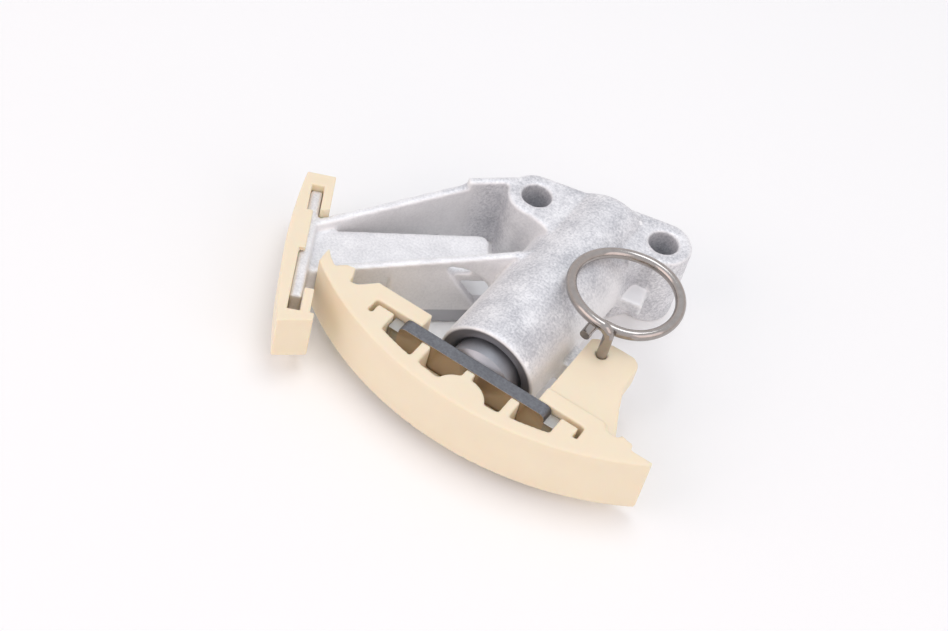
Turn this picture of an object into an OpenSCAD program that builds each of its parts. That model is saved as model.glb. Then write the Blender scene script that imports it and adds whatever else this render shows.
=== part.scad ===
// Hydraulic timing chain tensioner: cast housing, sprung plunger, push plate,
// moulded slider shoe, clip-on guide shoe and the wire pin that holds it retracted.
// Millimetres. The origin is midway between the two bolts on the mounting face.
// +Z runs up the bolts and the plunger pushes along -Y.

/* [Bolt flange] */
// distance between the two mounting bolts
bolt_pcd = 30; // [27:0.5:34]
// angle of the bolt line from the X axis
bolt_angle = 14.4; // [8:0.2:20]
// clearance hole for an M6 bolt
bolt_hole_d = 6.8; // [6.4:0.1:7.2]
// radius of the boss round each bolt
boss_r = 6.6; // [6:0.1:7.5]
// height of the flange over the mounting face
flange_h = 19.5; // [18:0.25:21]
// reach of the cast lug in the corner in front of the right boss
corner_reach = 12.4; // [10:0.1:13]
// height of that lug
corner_t = 3; // [2:0.1:5]

/* [Cylinder] */
// outer radius of the cast cylinder
cyl_r = 11.5; // [11:0.1:12.5]
// cylinder axis, measured across from the bolt midpoint
cyl_x = 1.2; // [0:0.1:2.5]
// cylinder axis, measured up from the mounting face
axis_z = 10.5; // [10:0.1:11.2]
// closed end of the cylinder behind the bolt midpoint
cyl_rear = 6.8; // [6.5:0.1:9]
// mouth of the cylinder in front of the bolt midpoint
cyl_reach = 47.5; // [46:0.25:49]
// rounding of the closed end
cyl_round = 2.5; // [1:0.25:4]
// radius of the step turned in the mouth
mouth_r = 8.7; // [8.4:0.1:10]
// depth of the step in the mouth
mouth_depth = 1; // [0.5:0.25:5]

/* [Plunger] */
// plunger diameter
plunger_d = 16; // [15:0.1:17]
// plunger length without its nose
plunger_len = 38; // [34:0.5:40]
// length standing out of the mouth when the pin is in
plunger_out = 4.5; // [4:0.1:6]
// thickness of the plunger's closed end
crown_t = 5; // [3.5:0.25:7]
// bevel round the plunger's closed end
crown_bevel = 1.6; // [0.5:0.1:2.4]
// bore inside the plunger
plunger_bore_d = 11.8; // [11.4:0.1:12.4]
// diameter of the nose pressed into the push plate
nose_d = 6; // [4:0.25:8]
// radial running gap of the plunger in its bore
run_gap = 0.03; // [0.01:0.01:0.08]
// depth of the bore from the mouth
bore_depth = 43; // [42:0.25:44]

/* [Springs and valve] */
// wire of the plunger spring
spring_wire = 1.4; // [1:0.1:1.6]
// outside diameter of the plunger spring
spring_od = 11.2; // [10.6:0.1:11.3]
// turns of the plunger spring
spring_turns = 9; // [6:1:11]
// stem diameter of the filler inside the spring
core_d = 6.8; // [5:0.1:7.6]
// stem length of the filler
core_len = 18; // [12:0.5:22]
// flange thickness of the filler
core_flange_t = 1.2; // [0.8:0.1:2]
// diameter of the pressed-in valve seat
seat_d = 11; // [10:0.1:12.5]
// thickness of the valve seat
seat_t = 4.5; // [3.5:0.25:5]
// oil hole through the valve seat
seat_hole_d = 3.2; // [2.4:0.1:3.6]
// check ball diameter
ball_d = 4.4; // [4:0.1:4.6]
// air under the check ball on its seat
ball_gap = 0.05; // [0.02:0.01:0.1]
// sheet of the stamped valve cage
cage_t = 0.6; // [0.4:0.05:0.8]
// outside diameter of the cage cup
cage_cup_d = 6.6; // [6:0.1:7]
// height of the cage cup
cage_h = 6.6; // [6:0.1:7.4]
// rim diameter of the cage, under the plunger spring
cage_rim_d = 12.4; // [11.6:0.1:14]
// wire of the valve spring
valve_wire = 0.35; // [0.2:0.05:0.45]
// outside diameter of the valve spring
valve_spring_d = 3; // [2.4:0.1:3.6]
// oil inlet hole in the mounting face
inlet_d = 3.5; // [2.5:0.1:4]

/* [Push plate] */
// thickness of the steel push plate
plate_t = 3.2; // [2.6:0.1:3.6]
// length of the plate's full-height middle
plate_len = 36; // [34:0.25:38]
// length of each lower shoulder at its ends
shoulder_len = 2.6; // [2:0.1:3.6]
// drop from the plate's edges to the shoulders
shoulder_drop = 1.8; // [1.5:0.1:4.5]
// corner rounding of the plate
plate_round = 1.4; // [0.6:0.1:2.2]

/* [Slider shoe] */
// height of the slider shoe
shoe_h = 14.5; // [14:0.1:15.5]
// radius of the curved sliding face
shoe_arc_r = 71; // [68:0.5:76]
// from the plate's rear face to the crown of the sliding face
shoe_reach = 12.6; // [12:0.1:13.4]
// half length of the shoe
shoe_half = 41.2; // [40:0.1:42]
// wall behind the sliding face
shoe_wall = 3.5; // [2.8:0.1:4.2]
// thickness of the three ribs in the pocket row
rib_t = 2.2; // [1.6:0.1:3]
// distance of the outer ribs from the middle one
rib_pitch = 11; // [10:0.25:12.5]
// radius of the round boss by the middle rib
hub_r = 6; // [4:0.1:7]
// sideways place of the round boss
hub_u = 1.1; // [0:0.1:2]
// centre of the round boss behind the sliding face
hub_in = 1.6; // [0:0.1:3]
// web closing the pockets at half height
web_t = 1.6; // [1:0.1:3]
// thickness of the two hooks behind the plate
hook_t = 4.1; // [3.4:0.1:4.5]
// distance of the hook tips from the plunger axis
hook_in = 14.4; // [13.4:0.1:15.4]
// distance of the hook roots from the plunger axis
hook_out = 28.2; // [27.4:0.1:29]
// width of the relief slots
slot_w = 1; // [0.7:0.05:1.4]
// reach of the relief slots past the plate's shoulders
slot_run = 4.6; // [3.6:0.1:5.4]
// length of the bent ends of the relief slots
slot_hook = 2.6; // [1.8:0.1:3.4]
// free space round the plate in its seat
seat_gap = 0.1; // [0.05:0.01:0.2]
// rounding of the pin tab's outer corner
tab_r = 3; // [2:0.1:4]
// pin tab behind the pin
tab_back = 4.2; // [3:0.1:5]
// pin tab beside the pin
tab_side = 8; // [6.5:0.1:9]
// thickness of the pin tab
tab_t = 4.6; // [3.6:0.1:5.4]
// step from the shoe's top down to the pin tab
tab_drop = 1; // [0.5:0.1:1.6]

/* [Lock pin] */
// place of the pin behind the plate
pin_reach = 20.2; // [19:0.2:21.5]
// sideways place of the pin from the plunger axis
pin_u = 18.3; // [17.9:0.1:19.1]
// wire of the lock pin
pin_d = 2.4; // [1.6:0.1:2.6]
// radial gap of the pin in its hole
pin_gap = 0.05; // [0.03:0.01:0.1]
// mean radius of the pull ring
ring_r = 12.9; // [11:0.1:13.2]
// height of the pull ring over the pin tab
ring_lift = 7.95; // [7.6:0.05:9]
// radius of the bend from the tail to the ring
bend_r = 2.2; // [1.6:0.1:3]
// slope of the ring away from the tail
ring_slope = 6.2; // [4:0.1:6.4]
// direction in which the ring leaves the tail
ring_turn = 180; // [176:1:190]
// bend radius of the ring's free end
tip_r = 2.5; // [2:0.25:5]
// straight length of the ring's free end
tip_len = 2.6; // [1:0.1:4]
// free space where the ring passes its own tail
pass = 2; // [0.3:0.05:2.4]

/* [Arm and rail] */
// rear end of the rail, across from the bolt midpoint
rail_x = -53.7; // [-56:0.1:-52]
// rear end of the rail, along Y
rail_y = -32.3; // [-34:0.1:-31]
// direction of the rail
rail_angle = -62.6; // [-65:0.2:-61]
// length of the rail
rail_len = 31.7; // [30:0.1:33]
// thickness of the rail
rail_t = 2.6; // [2.2:0.1:3]
// height of the rail
rail_h = 8.5; // [7:0.1:9]
// thickness of the arm's upper wall
upper_t = 2; // [1.6:0.1:2.8]
// thickness of the arm's lower wall at the top
lower_t = 1.9; // [1.6:0.1:2.4]
// rail station of the upper wall
upper_s = 10; // [9:0.1:11]
// rail station of the lower wall
lower_s = 22.4; // [21.4:0.1:23.4]
// drop from the flange to the upper wall's step
wall_drop = 2; // [1:0.1:3]
// drop from the rail's top to the lower wall's end
lower_drop = 1.8; // [1:0.1:2.4]
// free space round both walls
wall_room = 0.5; // [0.3:0.05:0.8]
// thickness of the flat web between the walls
plank_t = 2.5; // [2:0.1:4]
// drop from the rail's top to the flat web
plank_drop = 2.1; // [1:0.1:2.6]
// height of the foot under the lower wall
foot_h = 4.4; // [3:0.1:5]
// foot standing out in front of the lower wall
foot_out = 2.6; // [1.5:0.1:3]
// radius of the window between the lower wall and the cylinder
window_r = 12; // [10:0.25:13]

/* [Guide shoe] */
// height of the guide shoe
guide_h = 11.5; // [11:0.1:12.5]
// outer wall of the guide shoe at its crown
guide_wall = 3.2; // [2.8:0.1:4]
// radius of the guide shoe's running face
guide_arc_r = 150; // [130:5:250]
// skew of the guide shoe's front end
guide_skew = 14.5; // [0:0.5:20]
// lips of the guide shoe behind the rail
guide_lip = 2.1; // [1.6:0.1:2.4]
// play of the guide shoe on the rail
guide_gap = 0.15; // [0.1:0.01:0.3]
// end block past the rail's rear end
guide_rear = 3.8; // [2.5:0.1:5]
// open slot past the rail's front end
guide_slot = 5; // [3:0.1:6]
// end block past the slot
guide_front = 3.2; // [2.4:0.1:4.5]
// reach of the rear lip along the rail
lip_rear = 7; // [5:0.1:8]
// reach of the front lip along the rail
lip_front = 1.6; // [1:0.1:2.4]
// front block standing in past the lips
block_in = 0.9; // [0.3:0.1:1.5]
// length of the keys that hold the rail's edges
key_len = 11.5; // [8:0.1:13]

/* [Hidden] */
$fn = 96;
e = 0.01;
b1 = [-bolt_pcd / 2 * cos(bolt_angle), -bolt_pcd / 2 * sin(bolt_angle)];
b2 = -b1;
// square to the bolt line, towards the rear
bn = [-sin(bolt_angle), cos(bolt_angle)];

bore_r = plunger_d / 2 + run_gap;
floor_y = bore_depth - cyl_reach;
recess_y = floor_y + seat_t;
inlet_y = recess_y + inlet_d / 2 + 0.6;
crown_y = -cyl_reach - plunger_out + crown_t;
plate_y = -cyl_reach - plunger_out;

core_y = crown_y + core_flange_t;
ball_seat = sqrt(pow(ball_d / 2, 2) - pow(seat_hole_d / 2, 2));
ball_y = floor_y - ball_seat - ball_gap;
ball_rest = ball_y - sqrt(pow(ball_d / 2, 2) - pow(valve_spring_d / 2 - valve_wire, 2)) - 0.1;
cage_y = floor_y - cage_h;

shoulder_u = plate_len / 2 + shoulder_len;
seat_u = shoulder_u + seat_gap;
seat_v = plate_t + seat_gap / 2;
arc_y = shoe_arc_r - shoe_reach;
shoe_z = axis_z - shoe_h / 2;
hook_y = hook_t + seat_gap;
// the end teeth are drawn for this run beyond the hooks, and stretch with the real one
tooth_run = 13;
function end_u(u) = hook_out + u * (shoe_half - hook_out) / tooth_run;
slot_u = seat_u + slot_run;
tab_z = axis_z + shoe_h / 2 - tab_drop - tab_t;
// outer edge and rear edge of the pin tab
tab_o = pin_u + tab_side;
tab_v = pin_reach + tab_back;

pin_x = cyl_x + pin_u;
pin_y = plate_y + pin_reach;
lug_top = tab_z - 0.6;

// far side of the ring from the tail, and the half that comes back
far_y = -2 * ring_r * cos(ring_slope);
far_z = -2 * ring_r * sin(ring_slope);
back_r = round(50 * norm([far_y + pin_d + pass, far_z + pin_d + pass])) / 100;
back_slope = round(100 * atan2(far_z + pin_d + pass, -far_y - pin_d - pass)) / 100;
tail_len = tab_t + ring_lift - bend_r;
wire_lap = 0.1;
wire_step = 0.02;
function lap(r) = wire_lap / r * 180 / PI;

rail_z = axis_z - rail_h / 2;
rail_top = rail_z + rail_h;
rail_dir = [cos(rail_angle), sin(rail_angle)];
rail_o = [rail_x, rail_y];
wall_top = flange_h - wall_drop;
// where both walls of the arm leave the rail
upper_a = rail_o + upper_s * rail_dir;
lower_a = rail_o + lower_s * rail_dir;
// where the upper wall meets the flange, and its step below it
upper_b = b1 + boss_r * 0.8 * [cos(155), sin(155)];
upper_k = b1 + [-13.9, -6.7];
upper_ang = atan2(upper_k[1] - upper_a[1], upper_k[0] - upper_a[0]);
// where the lower wall runs into the cylinder
lower_b = [cyl_x - cyl_r * 0.59, -18.7];
lower_len = norm(lower_b - lower_a);
foot_v = lower_t / 2 + foot_out;
lower_ang = atan2(lower_b[1] - lower_a[1], lower_b[0] - lower_a[0]);
plank_top = rail_top - plank_drop;

guide_in = rail_t / 2 + guide_gap;
lip_y = guide_in + guide_lip;
guide_z = axis_z - guide_h / 2;
guide_end = rail_len + guide_slot + guide_front;

// A shape drawn along +Z, laid on the plunger axis so that its +Z points along -Y from station y.
module on_axis(y)
    translate([cyl_x, y, axis_z])
        rotate([90, 0, 0])
            children();

// The rail's own frame: X along the rail from its rear end, +Y towards the arm.
module on_rail()
    translate([rail_x, rail_y, 0])
        rotate([0, 0, rail_angle])
            children();

// An upright wall from plan point a to b, with its own bottom and top heights at either end.
module wall(a, b, t, za, zb, ta, tb)
    translate([a[0], a[1], 0])
        rotate([90, 0, atan2(b[1] - a[1], b[0] - a[0])])
            translate([0, 0, -t / 2])
                linear_extrude(t)
                    polygon([[0, za], [norm(b - a), zb], [norm(b - a), tb], [0, ta]]);

// Round wire climbing by half turns, each one starting where the last one stops.
module half_turns(n, r, wire, tilt)
    rotate([0, -tilt, 0]) {
        translate([r, 0, 0])
            rotate_extrude(angle = 180)
                translate([r, 0])
                    circle(d = wire, $fn = 32);
        if (n > 1)
            translate([2 * r, 0, 0])
                rotate([0, tilt, 0])
                    rotate([0, 0, 180])
                        half_turns(n - 1, r, wire, tilt);
    }

// A wire spring of the given outside diameter, length and number of turns.
module coil(od, wire, len, turns)
    translate([(wire - od) / 2, 0, wire / 2])
        half_turns(2 * turns, (od - wire) / 2, wire, asin((len - wire) / turns / 2 / (od - wire)));

// Plan of the bolt flange: two bosses, the bridge between them and the webs to the cylinder.
module flange_plan() {
    for (b = [b1, b2])
        translate(b)
            circle(r = boss_r);
    polygon([b1 + boss_r * bn, b2 + boss_r * bn, b2, b1]);
    polygon([b1, b1 + boss_r * 0.98 * [cos(284), sin(284)], [cyl_x - cyl_r * 0.86, -10.7],
        [cyl_x - cyl_r * 0.66, -11.9], [cyl_x, -11.9], [cyl_x, 0]]);
    polygon([b2, b2 + boss_r * 0.98 * [cos(262), sin(262)], [cyl_x + cyl_r * 0.9, -6.4],
        [cyl_x, -6.4], [cyl_x, 0]]);
}

// Cylinder with a rounded closed end.
module cylinder_body()
    on_axis(cyl_rear)
        rotate_extrude()
            union() {
                translate([0, cyl_round])
                    square([cyl_r, cyl_rear + cyl_reach - cyl_round]);
                square([cyl_r - cyl_round, cyl_round + e]);
                translate([cyl_r - cyl_round, cyl_round])
                    circle(r = cyl_round);
            }

// The lower wall in its own upright frame: it thickens downwards to a foot, and a window opens
// between it and the cylinder.
module lower_wall()
    translate([lower_a[0], lower_a[1], 0])
        rotate([0, 0, lower_ang])
            difference() {
                union() {
                    translate([0, lower_t / 2, 0])
                        rotate([90, 0, 0])
                            linear_extrude(lower_t)
                                polygon([[0, rail_z + 0.8], [lower_len * 0.4, -0.6], [lower_len, -0.6],
                                    [lower_len, flange_h - 0.2], [0, rail_top - lower_drop]]);
                    translate([lower_len * 0.38, 0, 0])
                        rotate([90, 0, 90])
                            linear_extrude(lower_len * 0.62)
                                polygon([[0, -0.6], [-foot_v, -0.6], [-foot_v, foot_h],
                                    [0.3 - foot_v, foot_h], [0.1 - lower_t / 2, rail_top - 0.6],
                                    [0, rail_top - 0.6]]);
                }
                translate([lower_len, 10, 0])
                    rotate([90, 0, 0])
                        linear_extrude(20)
                            window_plan();
            }

// Outline of the window, measured back from the cylinder: a round upper edge and a sloping lower one.
module window_plan()
    intersection() {
        translate([-window_r - 7, foot_h - 1.4])
            circle(r = window_r);
        polygon([[-19.7, foot_h + 10.8], [1, foot_h + 10.8], [1, foot_h], [-11.3, foot_h]]);
    }

// Flat web of the arm between its two walls, rounded where it stops short of the cylinder.
module plank()
    translate([0, 0, plank_top - plank_t])
        linear_extrude(plank_t) {
            polygon([upper_a, [-20.6, -17.2], [-16.4, -18.6], [-14.4, -21.4],
                lower_b + [-4, -4.4], lower_a]);
            translate([-18.9, -18.7])
                circle(r = 2.3);
        }

module housing()
    color([0.74, 0.75, 0.77])
        difference() {
            union() {
                linear_extrude(flange_h)
                    flange_plan();
                cylinder_body();
                wall(upper_a, upper_k, upper_t, rail_z + 0.8, -0.6, rail_top - 0.3, wall_top);
                wall(upper_k, upper_b, upper_t, 0, 0, flange_h, flange_h);
                translate([upper_k[0], upper_k[1], 0])
                    cylinder(d = upper_t + 0.4, h = wall_top);
                lower_wall();
                plank();
                on_rail()
                    translate([0, -rail_t / 2, rail_z])
                        cube([rail_len, rail_t, rail_h]);
                // lug that takes the tip of the lock pin
                translate([cyl_x, pin_y - 3.2, lug_top - 6])
                    cube([pin_x + 3.2 - cyl_x, 6.4, 6]);
                // cast lug in the corner between the boss and the cylinder
                translate([b2[0], b2[1], axis_z - corner_t])
                    rotate([0, 0, bolt_angle])
                        translate([-9, -corner_reach, 0])
                            cube([9.5, corner_reach, corner_t]);
            }
            // flat mounting face
            translate([-150, -150, -100])
                cube([300, 300, 100]);
            for (b = [b1, b2])
                translate([b[0], b[1], -1])
                    cylinder(d = bolt_hole_d, h = flange_h + 2);
            on_axis(floor_y)
                cylinder(r = bore_r, h = bore_depth + 1);
            on_axis(mouth_depth - cyl_reach)
                cylinder(r = mouth_r, h = mouth_depth + 1);
            on_axis(recess_y)
                cylinder(d = seat_d, h = seat_t + e);
            on_axis(inlet_y)
                cylinder(d = inlet_d, h = inlet_y - recess_y + e);
            translate([cyl_x, inlet_y, -1])
                cylinder(d = inlet_d, h = axis_z + 1);
            translate([pin_x, pin_y, lug_top - 5])
                cylinder(d = pin_d + 2 * pin_gap, h = 6);
        }

module valve_seat()
    color([0.55, 0.55, 0.57])
        on_axis(recess_y)
            difference() {
                cylinder(d = seat_d, h = seat_t);
                translate([0, 0, -1])
                    cylinder(d = seat_hole_d, h = seat_t + 2);
            }

module valve_cage()
    color([0.66, 0.64, 0.58])
        on_axis(floor_y)
            difference() {
                union() {
                    cylinder(d = cage_rim_d, h = cage_t);
                    cylinder(d = cage_cup_d, h = cage_h);
                }
                translate([0, 0, -1])
                    cylinder(d = cage_cup_d - 2 * cage_t, h = cage_h - cage_t + 1);
                translate([0, 0, cage_h - 1])
                    cylinder(d = valve_spring_d - 2 * valve_wire - 0.6, h = 2);
                for (a = [0, 90])
                    translate([0, 0, cage_h * 0.45])
                        rotate([0, 90, a])
                            cylinder(d = 1.6, h = cage_cup_d + 2, center = true);
            }

module valve_ball()
    color([0.62, 0.63, 0.66])
        translate([cyl_x, ball_y, axis_z])
            sphere(d = ball_d);

module valve_spring()
    color([0.5, 0.5, 0.52])
        on_axis(ball_rest)
            coil(valve_spring_d, valve_wire, ball_rest - cage_y - cage_t, 3);

module plunger()
    color([0.35, 0.36, 0.38])
        difference() {
            union() {
                on_axis(plate_y + plunger_len)
                    rotate_extrude()
                        polygon([[0, 0], [plunger_d / 2, 0], [plunger_d / 2, plunger_len - crown_bevel],
                            [plunger_d / 2 - crown_bevel, plunger_len], [0, plunger_len]]);
                on_axis(plate_y + e)
                    cylinder(d = nose_d, h = plate_t + e);
            }
            on_axis(plate_y + plunger_len + 1)
                cylinder(d = plunger_bore_d, h = plunger_len - crown_t + 1);
        }

module plunger_spring()
    color([0.45, 0.46, 0.48])
        on_axis(floor_y - cage_t)
            coil(spring_od, spring_wire, floor_y - cage_t - core_y, spring_turns);

module spring_core()
    color([0.2, 0.2, 0.21])
        on_axis(core_y + core_len)
            union() {
                cylinder(d = core_d, h = core_len);
                translate([0, 0, core_len])
                    cylinder(d = plunger_bore_d - 0.4, h = core_flange_t);
            }

module push_plate()
    color([0.36, 0.37, 0.39])
        difference() {
            translate([cyl_x, plate_y, axis_z])
                rotate([90, 0, 0])
                    linear_extrude(plate_t) {
                        square([2 * shoulder_u, shoe_h - 2 * shoulder_drop], center = true);
                        square([plate_len - 2 * plate_round, shoe_h], center = true);
                        square([plate_len, shoe_h - 2 * plate_round], center = true);
                        for (x = [-1, 1], z = [-1, 1])
                            translate([x * (plate_len / 2 - plate_round), z * (shoe_h / 2 - plate_round)])
                                circle(r = plate_round);
                    }
            on_axis(plate_y + 1)
                cylinder(d = nose_d, h = plate_t + 2);
        }

// Plan of the slider shoe about the point where the axis meets the plate's rear face.
module shoe_outline()
    intersection() {
        translate([0, arc_y])
            circle(r = shoe_arc_r, $fn = 180);
        polygon([[-shoe_half, -40], [-shoe_half, -1], [-shoe_half - 0.6, 5.2], [-end_u(11.7), 3.2],
            [-end_u(9.7), 1.8], [-end_u(8), 3.7], [-end_u(6), 4.2], [-end_u(5), 1.6],
            [-end_u(5), 0.2], [-end_u(3.2), 0.6], [-end_u(1.3), 2.6], [-hook_out, hook_y],
            [-hook_in, hook_y], [-hook_in, 0], [hook_in, 0], [hook_in, hook_y],
            [hook_out, hook_y], [end_u(1.4), 2.4], [end_u(4), 2.4], [end_u(4.4), 3.6],
            [end_u(7.4), 3], [end_u(7.8), 1.5], [shoe_half, 1.6], [shoe_half, -40]]);
    }

// Space behind the sliding wall that holds the plate and the pockets.
module shoe_inside() {
    intersection() {
        translate([0, arc_y])
            circle(r = shoe_arc_r - shoe_wall, $fn = 180);
        translate([-seat_u, -30])
            square([2 * seat_u, 30 + seat_gap]);
    }
    translate([-seat_u, -seat_v])
        square([2 * seat_u, seat_v + seat_gap]);
}

// That space in front of the plate.
module pocket_row()
    intersection() {
        shoe_inside();
        translate([-seat_u, -30])
            square([2 * seat_u, 30 - seat_v]);
    }

// What stands in the pocket row at full height.
module shoe_ribs()
    intersection() {
        pocket_row();
        union() {
            for (x = [-rib_pitch, 0, rib_pitch])
                translate([x - rib_t / 2, -30])
                    square([rib_t, 30]);
            translate([hub_u, hub_in - shoe_reach])
                circle(r = hub_r);
        }
    }

// Bent relief slots that let the hooks spring over the plate.
module shoe_slots()
    for (k = [-1, 1])
        translate([k * slot_u, seat_gap - slot_w / 2]) {
            translate([k > 0 ? -slot_run - 1 : 0, -slot_w / 2])
                square([slot_run + 1, slot_w]);
            circle(d = slot_w);
            translate([-slot_w / 2, -slot_hook])
                square([slot_w, slot_hook]);
            translate([0, -slot_hook])
                circle(d = slot_w * 1.3);
        }

module tab_plan() {
    polygon([[hook_in, 1], [hook_in, tab_v - 1.6], [hook_in + 1.6, tab_v - 0.4],
        [tab_o - tab_r, tab_v], [tab_o, tab_v - tab_r], [tab_o + 0.3, tab_v - 9],
        [tab_o + 2.2, tab_v - 14], [end_u(4), 2]]);
    translate([tab_o - tab_r, tab_v - tab_r])
        circle(r = tab_r);
}

module slider_shoe()
    color([0.93, 0.87, 0.74])
        translate([cyl_x, plate_y, 0])
            difference() {
                union() {
                    translate([0, 0, shoe_z])
                        linear_extrude(shoe_h)
                            difference() {
                                shoe_outline();
                                shoe_inside();
                                shoe_slots();
                            }
                    translate([0, 0, shoe_z])
                        linear_extrude(shoe_h)
                            shoe_ribs();
                    translate([0, 0, axis_z - web_t / 2])
                        linear_extrude(web_t)
                            pocket_row();
                    difference() {
                        translate([0, 0, tab_z])
                            linear_extrude(tab_t)
                                tab_plan();
                        translate([0, 0, shoe_z - 1])
                            linear_extrude(shoe_h + 2) {
                                shoe_inside();
                                shoe_slots();
                            }
                    }
                }
                translate([pin_x - cyl_x, pin_y - plate_y, tab_z - 1])
                    cylinder(d = pin_d + 2 * pin_gap, h = tab_t + 2);
                // room for the arm's lower wall under the end tooth
                translate([lower_a[0] - cyl_x, lower_a[1] - plate_y, shoe_z - 1])
                    rotate([0, 0, lower_ang])
                        translate([-8, -lower_t / 2 - wall_room, 0])
                            cube([22, 14, rail_top - shoe_z + 1]);
                // room for the plunger's nose through the plate
                translate([0, e, axis_z])
                    rotate([90, 0, 0])
                        cylinder(d = nose_d + 1, h = plate_t + e);
            }

// Plan of the guide shoe in the rail's frame: a running face of large radius and a skewed front end.
module guide_outline()
    intersection() {
        translate([(rail_len + guide_slot) / 2, guide_arc_r - rail_t / 2 - guide_wall])
            circle(r = guide_arc_r, $fn = 180);
        polygon([[-guide_rear, -8], [guide_end + 8 * tan(guide_skew), -8],
            [guide_end - (lip_y + block_in) * tan(guide_skew), lip_y + block_in],
            [rail_len + guide_slot, lip_y + block_in], [rail_len + guide_slot, lip_y],
            [-guide_rear, lip_y]]);
    }

// Room for one of the arm's walls, which leaves the rail at station st.
module wall_space(st, angle, t)
    translate([st, 0])
        rotate(angle - rail_angle)
            translate([0, -t / 2 - wall_room])
                square([20, t + 2 * wall_room]);

module guide_shoe()
    color([0.93, 0.87, 0.74])
        on_rail() {
            translate([0, 0, guide_z])
                linear_extrude(guide_h)
                    difference() {
                        guide_outline();
                        translate([-guide_gap, -rail_t / 2])
                            square([rail_len + guide_slot + guide_gap, rail_t / 2 + guide_in]);
                        translate([lip_rear, -rail_t / 2])
                            square([rail_len - lip_front - lip_rear, rail_t + 8]);
                        wall_space(upper_s, upper_ang, upper_t);
                        wall_space(lower_s, lower_ang, lower_t);
                    }
            for (z = [guide_z, rail_top + guide_gap])
                translate([0, 0, z])
                    linear_extrude((guide_h - rail_h) / 2 - guide_gap)
                        intersection() {
                            guide_outline();
                            translate([lip_rear + 0.5, -8])
                                square([key_len, 8]);
                        }
        }

// A bent piece of the pin's wire, starting on +X.
module bow(r, angle, d = pin_d)
    rotate_extrude(angle = angle)
        translate([r, 0])
            circle(d = d, $fn = 32);

// Wire bent down from the ring into a straight tail. The ring drops as it comes round, so that
// its free end passes inside the tail and under the start of the ring.
module lock_pin()
    color([0.6, 0.6, 0.62])
        translate([pin_x, pin_y, tab_z])
            rotate([0, 0, ring_turn]) {
                cylinder(d = pin_d, h = tail_len);
                translate([bend_r, 0, tail_len]) {
                    rotate([90, 0, 0])
                        rotate([0, 0, 90])
                            bow(bend_r, 90);
                    translate([0, 0, bend_r])
                        pull_ring();
                }
            }

// The ring in two half turns, then the free end, which is bent outwards by a quarter turn. Each
// piece starts a little inside the one before it and is drawn thinner by a hair.
module pull_ring()
    rotate([ring_slope, 0, 0]) {
        translate([0, -ring_r, 0])
            rotate([0, 0, -90])
                bow(ring_r, 180);
        translate([0, -2 * ring_r, 0])
            rotate([-ring_slope - back_slope, 0, 0]) {
                translate([0, back_r, 0])
                    rotate([0, 0, 90])
                        bow(back_r, 180 + lap(back_r), pin_d - wire_step);
                translate([0, 2 * back_r + tip_r, 0]) {
                    rotate([0, 0, -90 - lap(tip_r)])
                        bow(tip_r, 90 + lap(tip_r), pin_d - 2 * wire_step);
                    translate([tip_r, -wire_lap, 0])
                        rotate([-90, 0, 0])
                            cylinder(d = pin_d - 3 * wire_step, h = tip_len + wire_lap, $fn = 32);
                }
            }
    }

housing();
valve_seat();
valve_cage();
valve_ball();
valve_spring();
plunger();
plunger_spring();
spring_core();
push_plate();
slider_shoe();
guide_shoe();
lock_pin();
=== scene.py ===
from math import cos, radians, sin

import bmesh
import bpy
from mathutils import Matrix, Vector


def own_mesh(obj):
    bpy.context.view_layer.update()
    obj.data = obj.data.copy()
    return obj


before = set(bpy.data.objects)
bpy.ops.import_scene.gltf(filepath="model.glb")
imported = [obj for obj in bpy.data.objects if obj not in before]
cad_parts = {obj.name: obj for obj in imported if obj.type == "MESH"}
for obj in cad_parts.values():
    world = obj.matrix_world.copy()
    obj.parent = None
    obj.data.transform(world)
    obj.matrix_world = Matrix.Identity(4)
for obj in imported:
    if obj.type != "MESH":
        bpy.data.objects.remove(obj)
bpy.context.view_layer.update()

# Housing. A pressure die casting in aluminium alloy, tumbled after casting: the flange with its two bolt
# bosses, the cylinder, and the ribbed arm with the rail for the guide shoe are all one piece. Every edge is
# softened by the die and the tumbling, so the solid is resampled and smoothed to give those radii.
MM = 0.001
first, second, blend = 6, 7, 2               # a Mix node's colour sockets: its two inputs and its result
first_value, second_value = 2, 3             # the same node's inputs for plain values

casting_voxel, casting_rounds = 0.425 * MM, 6
cylinder_x, cylinder_z = 1.2 * MM, 10.5 * MM
mouth_y, mouth_blur = -46.3 * MM, 0.3 * MM   # front end of the cylinder
turned_radius, rim = 11.1 * MM, 0.4 * MM     # reach of the turned end face, and the cast rim round it
arm_left, arm_front = -8.5 * MM, -15.0 * MM  # the arm lies to the left and in front of these
flange_front, bosses_end = -8.0 * MM, -11.0 * MM
foot_top, foot_blur = 4.3 * MM, 0.3 * MM     # top of the arm's trimmed foot
pad_left, pad_z = 9.0 * MM, 10.5 * MM        # left end and height of the lug by the right boss
pad_outer, pad_inner = 0.8 * MM, 0.6 * MM    # how far off that height the lug's top fades out
blur = 0.5 * MM


def linear(hex_colour):
    parts = [int(hex_colour[i:i + 2], 16) / 255 for i in (1, 3, 5)]
    return [c / 12.92 if c <= 0.04045 else ((c + 0.055) / 1.055) ** 2.4 for c in parts] + [1.0]


def add(tree, kind, inputs={}, **settings):
    node = tree.nodes.new(kind)
    for name, value in settings.items():
        setattr(node, name, value)
    for name, value in inputs.items():
        if isinstance(value, bpy.types.NodeSocket):
            tree.links.new(value, node.inputs[name])
        else:
            node.inputs[name].default_value = value
    return node


def new_material(name):
    material = bpy.data.materials.new(name)
    material.use_nodes = True
    tree = material.node_tree
    tree.nodes.clear()
    return material, tree


def dress(node, material):
    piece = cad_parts[node]
    piece.data.materials.clear()
    piece.data.materials.append(material)
    return piece


def join_triangles(piece):
    weld = piece.modifiers.new("weld", "WELD")
    weld.merge_threshold = 0.001 * MM


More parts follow.
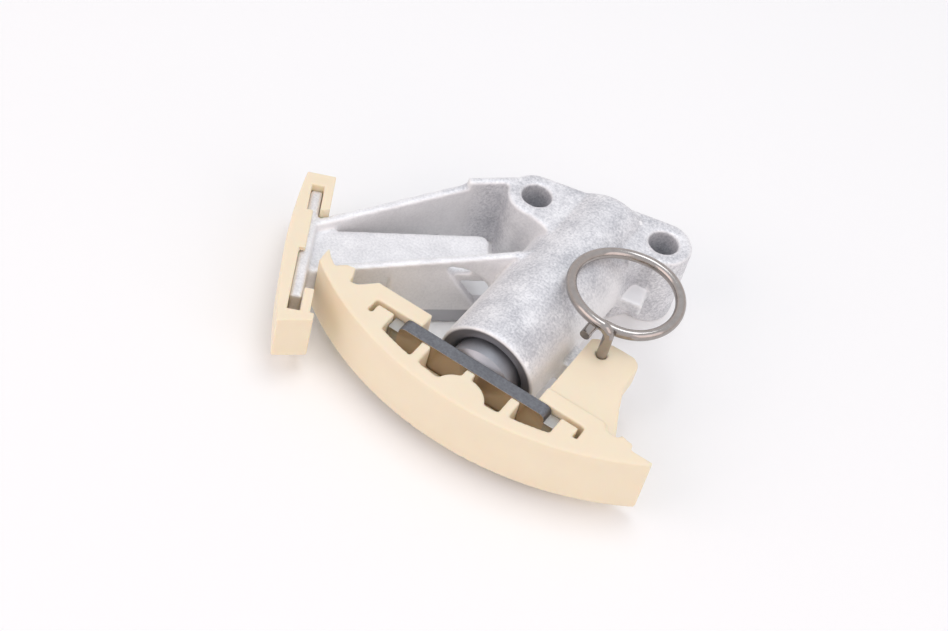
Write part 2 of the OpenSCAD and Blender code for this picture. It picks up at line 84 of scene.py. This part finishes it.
def soften(piece, voxel, rounds):
    join_triangles(piece)
    resample = piece.modifiers.new("resample", "REMESH")
    resample.mode = "VOXEL"
    resample.voxel_size = voxel
    resample.use_smooth_shade = True
    smooth = piece.modifiers.new("smooth", "SMOOTH")
    smooth.factor = 0.5
    smooth.iterations = rounds


# Tumbled cast aluminium: a pale grey metal, mottled with a fine broken grain. The upright walls and the arm
# are painted paler as painted light, the edges brighter as rubbed metal and painted highlight, and the corners
# darker as painted shade.
cast_aluminium, tree = new_material("tumbled_cast_aluminium")
coords = add(tree, "ShaderNodeTexCoord")
place = coords.outputs["Object"]
spot = add(tree, "ShaderNodeSeparateXYZ", {"Vector": place})
grain_size, cloud_size, cloud_share = 0.55 * MM, 5 * MM, 0.6
grain = add(tree, "ShaderNodeTexNoise", {"Vector": place, "Scale": 1 / grain_size, "Detail": 5.0,
                                         "Roughness": 0.65})
cloud = add(tree, "ShaderNodeTexNoise", {"Vector": place, "Scale": 1 / cloud_size, "Detail": 3.0})
mottle = add(tree, "ShaderNodeMath", {0: cloud.outputs["Fac"], 1: cloud_share, 2: grain.outputs["Fac"]},
             operation="MULTIPLY_ADD").outputs[0]
darkest, palest = 0.6, 1.0
tone = add(tree, "ShaderNodeMapRange", {"Value": mottle, "From Min": darkest, "From Max": palest})
colour = add(tree, "ShaderNodeMix", {"Factor": tone.outputs[0], first: linear("#BDBEC3"),
                                     second: linear("#F2F2F4")}, data_type="RGBA")
dull = add(tree, "ShaderNodeMapRange", {"Value": mottle, "From Min": darkest, "From Max": palest,
                                        "To Min": 0.62, "To Max": 0.44})

# Painted light: on the arm and on the steep faces in front of the flange the colour is mixed towards a
# near-white, which stands in for light on walls that fall in shade; it also smooths the mottle there, like the
# die's skin.
steep, level_face, wall_light_on_arm, most_wall_light = 0.35, 0.75, 0.6, 0.72
left = add(tree, "ShaderNodeMapRange", {"Value": spot.outputs["X"], "From Min": arm_left,
                                        "From Max": arm_left - blur})
front = add(tree, "ShaderNodeMapRange", {"Value": spot.outputs["Y"], "From Min": arm_front,
                                         "From Max": arm_front - blur})
arm = add(tree, "ShaderNodeMath", {0: left.outputs[0], 1: front.outputs[0]}, operation="MULTIPLY").outputs[0]
upward = add(tree, "ShaderNodeSeparateXYZ", {"Vector": coords.outputs["Normal"]}).outputs["Z"]
slope = add(tree, "ShaderNodeMath", {0: upward}, operation="ABSOLUTE")
wall = add(tree, "ShaderNodeMapRange", {"Value": slope.outputs[0], "From Min": level_face, "From Max": steep})
ahead = add(tree, "ShaderNodeMapRange", {"Value": spot.outputs["Y"], "From Min": flange_front,
                                         "From Max": bosses_end})
wall = add(tree, "ShaderNodeMath", {0: wall.outputs[0], 1: ahead.outputs[0]}, operation="MULTIPLY")
skin_and_wall_light = add(tree, "ShaderNodeMath", {0: arm, 1: wall_light_on_arm, 2: wall.outputs[0]}, operation="MULTIPLY_ADD")
skin_and_wall_light = add(tree, "ShaderNodeMapRange", {"Value": skin_and_wall_light.outputs[0], "To Max": most_wall_light})
colour = add(tree, "ShaderNodeMix", {"Factor": skin_and_wall_light.outputs[0], first: colour.outputs[blend],
                                     second: linear("#F8F7F7")}, data_type="RGBA")

# By how sharply the surface bends: edges painted bright, partly as rubbed metal and partly as a painted
# highlight, and concave corners painted darker as painted shade.
edge_start, edge_full = 0.515, 0.57
corner_start, corner_full, most_crease_shade = 0.48, 0.4, 0.5
bend = add(tree, "ShaderNodeNewGeometry").outputs["Pointiness"]
rubbed_edge_and_highlight = add(tree, "ShaderNodeMapRange", {"Value": bend, "From Min": edge_start, "From Max": edge_full})
colour = add(tree, "ShaderNodeMix", {"Factor": rubbed_edge_and_highlight.outputs[0], first: colour.outputs[blend],
                                     second: linear("#FBFBFC")}, data_type="RGBA")
# Painted shade: the concave corners are darkened towards a mid grey.
crease_shade = add(tree, "ShaderNodeMapRange", {"Value": bend, "From Min": corner_start, "From Max": corner_full,
                                          "To Max": most_crease_shade})
colour = add(tree, "ShaderNodeMix", {"Factor": crease_shade.outputs[0], first: colour.outputs[blend],
                                     second: linear("#8F8F94")}, data_type="RGBA")

# Cut faces: the turned end of the cylinder and the trimmed face of the foot, both smoother, and both painted
# darker as painted shade: the end face lies in the shaded gap behind the push plate, the foot's face is
# undercut.
cut_roughness = 0.28
end_face = add(tree, "ShaderNodeMapRange", {"Value": spot.outputs["Y"], "From Min": mouth_y,
                                            "From Max": mouth_y - mouth_blur})
about_axis = add(tree, "ShaderNodeMapping", {"Vector": place, "Location": (-cylinder_x, 0, -cylinder_z),
                                             "Scale": (1, 0, 1)})
radius = add(tree, "ShaderNodeVectorMath", {0: about_axis.outputs[0]}, operation="LENGTH").outputs["Value"]
inside = add(tree, "ShaderNodeMapRange", {"Value": radius, "From Min": turned_radius,
                                          "From Max": turned_radius - rim})
turned_end_and_shade = add(tree, "ShaderNodeMath", {0: end_face.outputs[0], 1: inside.outputs[0]}, operation="MULTIPLY")
colour = add(tree, "ShaderNodeMix", {"Factor": turned_end_and_shade.outputs[0], first: colour.outputs[blend],
                                     second: linear("#808084")}, data_type="RGBA")
low = add(tree, "ShaderNodeMapRange", {"Value": spot.outputs["Z"], "From Min": foot_top,
                                       "From Max": foot_top - foot_blur})
foot = add(tree, "ShaderNodeMath", {0: low.outputs[0], 1: arm}, operation="MULTIPLY")
colour = add(tree, "ShaderNodeMix", {"Factor": foot.outputs[0], first: colour.outputs[blend],
                                     second: linear("#B4B4B8")}, data_type="RGBA")
cut = add(tree, "ShaderNodeMath", {0: turned_end_and_shade.outputs[0], 1: foot.outputs[0]}, operation="MAXIMUM")
dull = add(tree, "ShaderNodeMix", {"Factor": cut.outputs[0], first_value: dull.outputs[0],
                                   second_value: cut_roughness})

# Painted highlight: the flat top of the lug by the right boss is painted almost white, where it catches the
# light.
tilted, flat = 0.7, 0.9
upward = add(tree, "ShaderNodeMapRange", {"Value": upward, "From Min": tilted, "From Max": flat})
off_level = add(tree, "ShaderNodeMath", {0: spot.outputs["Z"], 1: pad_z}, operation="SUBTRACT")
off_level = add(tree, "ShaderNodeMath", {0: off_level.outputs[0]}, operation="ABSOLUTE")
level = add(tree, "ShaderNodeMapRange", {"Value": off_level.outputs[0], "From Min": pad_outer,
                                         "From Max": pad_inner})
right = add(tree, "ShaderNodeMapRange", {"Value": spot.outputs["X"], "From Min": pad_left,
                                         "From Max": pad_left + blur})
lug_top_highlight = add(tree, "ShaderNodeMath", {0: upward.outputs[0], 1: level.outputs[0]}, operation="MULTIPLY")
lug_top_highlight = add(tree, "ShaderNodeMath", {0: lug_top_highlight.outputs[0], 1: right.outputs[0]}, operation="MULTIPLY")
colour = add(tree, "ShaderNodeMix", {"Factor": lug_top_highlight.outputs[0], first: colour.outputs[blend],
                                     second: linear("#FCFCFD")}, data_type="RGBA")
relief = add(tree, "ShaderNodeBump", {"Height": grain.outputs["Fac"], "Strength": 0.22, "Distance": 0.12 * MM})
metal = add(tree, "ShaderNodeBsdfPrincipled", {"Base Color": colour.outputs[blend], "Metallic": 0.4,
                                               "Roughness": dull.outputs[0], "Normal": relief.outputs[0]})
add(tree, "ShaderNodeOutputMaterial", {"Surface": metal.outputs[0]})
soften(dress("housing", cast_aluminium), casting_voxel, casting_rounds)

# Guide shoe and slider shoe. Both are mouldings in unfilled natural nylon, cream coloured and a little
# translucent. The guide shoe snaps over the rail of the arm. The slider shoe holds the push plate between
# its two hooks and carries the tab that the lock pin goes through.
guide_edge, bevel_steps = 0.3 * MM, 2
slider_voxel, slider_rounds = 0.32 * MM, 5
flat_limit, edge_limit = radians(0.5), radians(35)
cloud_size, skin_size = 9 * MM, 0.5 * MM

nylon, tree = new_material("natural_moulded_nylon")
place = add(tree, "ShaderNodeTexCoord").outputs["Object"]
cloud = add(tree, "ShaderNodeTexNoise", {"Vector": place, "Scale": 1 / cloud_size, "Detail": 2.0})
colour = add(tree, "ShaderNodeMix", {"Factor": cloud.outputs["Fac"], first: linear("#F4E4C8"),
                                     second: linear("#F9EBD1")}, data_type="RGBA")
skin_and_wall_light = add(tree, "ShaderNodeTexNoise", {"Vector": place, "Scale": 1 / skin_size, "Detail": 3.0})
dull = add(tree, "ShaderNodeMapRange", {"Value": skin_and_wall_light.outputs["Fac"], "From Min": 0.3, "From Max": 0.7,
                                        "To Min": 0.4, "To Max": 0.52})
relief = add(tree, "ShaderNodeBump", {"Height": skin_and_wall_light.outputs["Fac"], "Strength": 0.06, "Distance": 0.1 * MM})
plastic = add(tree, "ShaderNodeBsdfPrincipled", {"Base Color": colour.outputs[blend],
                                                 "Roughness": dull.outputs[0], "IOR": 1.53,
                                                 "Subsurface Weight": 0.3,
                                                 "Subsurface Radius": (1.0, 0.55, 0.3),
                                                 "Subsurface Scale": 1.2 * MM, "Normal": relief.outputs[0]})
add(tree, "ShaderNodeOutputMaterial", {"Surface": plastic.outputs[0]})


def round_edges(piece, radius, segments):
    join_triangles(piece)
    flat = piece.modifiers.new("flat", "DECIMATE")
    flat.decimate_type = "DISSOLVE"
    flat.angle_limit = flat_limit
    edges = piece.modifiers.new("edges", "BEVEL")
    edges.width = radius
    edges.segments = segments
    edges.limit_method = "ANGLE"
    edges.angle_limit = edge_limit
    edges.use_clamp_overlap = False
    edges.harden_normals = True


round_edges(dress("guide_shoe", nylon), guide_edge, bevel_steps)
soften(dress("slider_shoe", nylon), slider_voxel, slider_rounds)

# Push plate and valve cage. Stamped from steel strip and tumbled, dark grey on the cut edges, with pale rolled
# faces. The plate has sheared shoulders at both ends, and the plunger's nose is riveted into it. The cage is
# the same strip, drawn to a cup and held by the plunger spring.
plate_edge, plate_half, shoulder_blur = 0.18 * MM, 18.0 * MM, 0.1 * MM
grain_size, rolled_roughness = 0.5 * MM, 0.24
turning, square_on = 0.7, 0.9                # how far a face turns towards Y before it counts as a rolled one

plate_steel, tree = new_material("tumbled_strip_steel")
coords = add(tree, "ShaderNodeTexCoord")
place = coords.outputs["Object"]
grain = add(tree, "ShaderNodeTexNoise", {"Vector": place, "Scale": 1 / grain_size, "Detail": 4.0,
                                         "Roughness": 0.65})
colour = add(tree, "ShaderNodeMix", {"Factor": grain.outputs["Fac"], first: linear("#4A4B4F"),
                                     second: linear("#898A8E")}, data_type="RGBA")
facing = add(tree, "ShaderNodeSeparateXYZ", {"Vector": coords.outputs["Normal"]}).outputs["Y"]
facing = add(tree, "ShaderNodeMath", {0: facing}, operation="ABSOLUTE").outputs[0]
rolled_face_and_reflection = add(tree, "ShaderNodeMapRange", {"Value": facing, "From Min": turning, "From Max": square_on})
# The rolled faces are pale steel, with a warm tint painted in as the reflection of the cream nylon round the
# plate: painted reflection.
colour = add(tree, "ShaderNodeMix", {"Factor": rolled_face_and_reflection.outputs[0], first: colour.outputs[blend],
                                     second: linear("#BDAE9F")}, data_type="RGBA")
along = add(tree, "ShaderNodeSeparateXYZ", {"Vector": place}).outputs["X"]
along = add(tree, "ShaderNodeMath", {0: along, 1: cylinder_x}, operation="SUBTRACT").outputs[0]
along = add(tree, "ShaderNodeMath", {0: along}, operation="ABSOLUTE").outputs[0]
shoulder = add(tree, "ShaderNodeMapRange", {"Value": along, "From Min": plate_half,
                                            "From Max": plate_half + shoulder_blur})
colour = add(tree, "ShaderNodeMix", {"Factor": shoulder.outputs[0], first: colour.outputs[blend],
                                     second: linear("#A9A7A3")}, data_type="RGBA")
dull = add(tree, "ShaderNodeMapRange", {"Value": grain.outputs["Fac"], "To Min": 0.55, "To Max": 0.38})
dull = add(tree, "ShaderNodeMix", {"Factor": rolled_face_and_reflection.outputs[0], first_value: dull.outputs[0],
                                   second_value: rolled_roughness})
relief = add(tree, "ShaderNodeBump", {"Height": grain.outputs["Fac"], "Strength": 0.15, "Distance": 0.08 * MM})
metal = add(tree, "ShaderNodeBsdfPrincipled", {"Base Color": colour.outputs[blend], "Metallic": 1.0,
                                               "Roughness": dull.outputs[0], "Normal": relief.outputs[0]})
add(tree, "ShaderNodeOutputMaterial", {"Surface": metal.outputs[0]})
round_edges(dress("push_plate", plate_steel), plate_edge, bevel_steps)
dress("valve_cage", plate_steel)


# Plunger, valve seat and check ball. Hardened steel, ground to size. The plunger is a cup that runs in the
# cylinder on a film of oil, and only the shoulder of its closed end shows at the mouth. Grinding leaves fine
# lines round it, and the colour and the gloss change with them.
def stained(name, size, detail, colours, roughness, metallic, stretch=(1.0, 1.0, 1.0)):
    material, tree = new_material(name)
    place = add(tree, "ShaderNodeTexCoord").outputs["Object"]
    stretched = add(tree, "ShaderNodeMapping", {"Vector": place, "Scale": stretch})
    stain = add(tree, "ShaderNodeTexNoise", {"Vector": stretched.outputs[0], "Scale": 1 / size,
                                             "Detail": detail}).outputs["Fac"]
    colour = add(tree, "ShaderNodeMix", {"Factor": stain, first: linear(colours[0]),
                                         second: linear(colours[1])}, data_type="RGBA")
    dull = add(tree, "ShaderNodeMapRange", {"Value": stain, "To Min": roughness[0], "To Max": roughness[1]})
    surface = add(tree, "ShaderNodeBsdfPrincipled", {"Base Color": colour.outputs[blend],
                                                     "Metallic": metallic, "Roughness": dull.outputs[0]})
    add(tree, "ShaderNodeOutputMaterial", {"Surface": surface.outputs[0]})
    return material


ground_steel = stained("ground_hardened_steel", size=0.6 * MM, detail=3.0, colours=("#9A9BA0", "#B6B7BC"),
                       roughness=(0.42, 0.58), metallic=1.0, stretch=(1.0, 9.0, 1.0))
for node in ("plunger", "valve_seat", "valve_ball"):
    dress(node, ground_steel)

# Springs. Drawn and coiled spring wire, oiled and slightly brown from the heat treatment. The small one stands
# between the check ball and the cage, and shortens as the ball lifts.
spring_wire = stained("oiled_spring_wire", size=2 * MM, detail=3.0, colours=("#4B4846", "#77757A"),
                      roughness=(0.25, 0.45), metallic=1.0)
for node in ("plunger_spring", "valve_spring"):
    dress(node, spring_wire)
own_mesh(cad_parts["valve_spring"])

# Spring core. A moulded filler of black glass-filled nylon. It stands inside the plunger spring and takes up
# room that oil would fill.
black_nylon = stained("glass_filled_black_nylon", size=0.4 * MM, detail=3.0, colours=("#151517", "#2B2B2E"),
                      roughness=(0.4, 0.6), metallic=0.0)
dress("spring_core", black_nylon)

# Lock pin. One length of bright drawn steel wire, bent to a ring with a straight tail, which goes through the
# slider's tab and is pulled out once the part is fitted.
bright_wire = stained("bright_drawn_wire", size=1.5 * MM, detail=4.0, colours=("#948E8A", "#B0AAA6"),
                      roughness=(0.1, 0.22), metallic=1.0)
dress("lock_pin", bright_wire)

# Table. A sheet of white paper under the part. It keeps the soft shadow, and glows a little where the camera
# or the metal sees it, so that it reads as white.
table_half, table_z, paper_glow = 3.0, -0.05 * MM, 0.05


def seen_directly(tree):
    path = add(tree, "ShaderNodeLightPath")
    seen = add(tree, "ShaderNodeMath", {0: path.outputs["Is Camera Ray"], 1: path.outputs["Is Glossy Ray"]},
               operation="MAXIMUM")
    return add(tree, "ShaderNodeMath", {0: seen.outputs[0], 1: path.outputs["Is Transmission Ray"]},
               operation="MAXIMUM").outputs[0]


white_sheet, tree = new_material("white_sheet")
lift = add(tree, "ShaderNodeMath", {0: seen_directly(tree), 1: paper_glow}, operation="MULTIPLY")
glow = add(tree, "ShaderNodeEmission", {"Strength": lift.outputs[0]})
paper = add(tree, "ShaderNodeBsdfDiffuse", {"Color": linear("#FBFBFB")})
both = add(tree, "ShaderNodeAddShader", {0: paper.outputs[0], 1: glow.outputs[0]})
add(tree, "ShaderNodeOutputMaterial", {"Surface": both.outputs[0]})
mesh = bpy.data.meshes.new("table")
shape = bmesh.new()
bmesh.ops.create_grid(shape, x_segments=1, y_segments=1, size=table_half,
                      matrix=Matrix.Translation((0, 0, table_z)))
shape.to_mesh(mesh)
shape.free()
mesh.materials.append(white_sheet)
table = bpy.data.objects.new("table", mesh)
bpy.context.scene.collection.objects.link(table)

# Light. A white room, a soft box above the part and two larger, lower ones in front and on the right. The room
# is a little warmer near the floor, and so are the low boxes.
room_light, room_white, full_height = 0.68, 1.0, 0.8
middle = Vector((-0.006, -0.043, 0.01))
soft_boxes = (                               # name, place and size in metres, power in watts, colour
    ("key_box", (-0.03, 0.1, 0.7), 0.3, 0.95, "#F4FAFF"),
    ("front_box", (-0.38, -0.5, 0.36), 0.5, 1.0, "#FFEAE5"),
    ("right_box", (0.52, -0.2, 0.36), 0.5, 0.75, "#FFEAE5"),
)

world = bpy.data.worlds.new("white_room")
bpy.context.scene.world = world
world.use_nodes = True
tree = world.node_tree
tree.nodes.clear()
strength = add(tree, "ShaderNodeMapRange", {"Value": seen_directly(tree), "To Min": room_light,
                                            "To Max": room_white})
direction = add(tree, "ShaderNodeTexCoord").outputs["Generated"]
height = add(tree, "ShaderNodeSeparateXYZ", {"Vector": direction}).outputs["Z"]
rise = add(tree, "ShaderNodeMapRange", {"Value": height, "From Max": full_height})
tint = add(tree, "ShaderNodeMix", {"Factor": rise.outputs[0], first: linear("#FFF6F2"),
                                   second: linear("#F8FAFF")}, data_type="RGBA")
room = add(tree, "ShaderNodeBackground", {"Color": tint.outputs[blend], "Strength": strength.outputs[0]})
add(tree, "ShaderNodeOutputWorld", {"Surface": room.outputs[0]})

for name, at, size, power, hue in soft_boxes:
    lamp = bpy.data.lights.new(name, "AREA")
    lamp.shape = "SQUARE"
    lamp.size = size
    lamp.energy = power
    lamp.color = linear(hue)[:3]
    box = bpy.data.objects.new(name, lamp)
    box.location = at
    box.rotation_euler = (Vector(at) - middle).to_track_quat("Z", "Y").to_euler()
    bpy.context.scene.collection.objects.link(box)

# Camera. Where the photo was taken from: in front and to the right, well above the part, rolled a little. The
# angles, the distance and the focal length are those that fit the bolt holes and the upright edges.
turn, climb, roll, distance = radians(20.5), radians(47.5), radians(16.2), 0.4172
aim = Vector((-6.07, -43.495, 19.5)) * MM
photo_width, focal_pixels, sensor_width = 948, 2000, 36
back = Vector((sin(turn) * cos(climb), -cos(turn) * cos(climb), sin(climb)))
level_right = Vector((cos(turn), sin(turn), 0))
level_up = back.cross(level_right)
right = cos(roll) * level_right + sin(roll) * level_up
up = -sin(roll) * level_right + cos(roll) * level_up
lens = bpy.data.cameras.new("camera")
lens.sensor_width = sensor_width
lens.lens = focal_pixels / photo_width * sensor_width
lens.clip_start = 10 * MM
camera = bpy.data.objects.new("camera", lens)
camera.matrix_world = (Matrix.Translation(aim + distance * back)
                       @ Matrix((right, up, back)).transposed().to_4x4())
bpy.context.scene.collection.objects.link(camera)
bpy.context.scene.camera = camera
bpy.context.scene.view_settings.view_transform = "Standard"
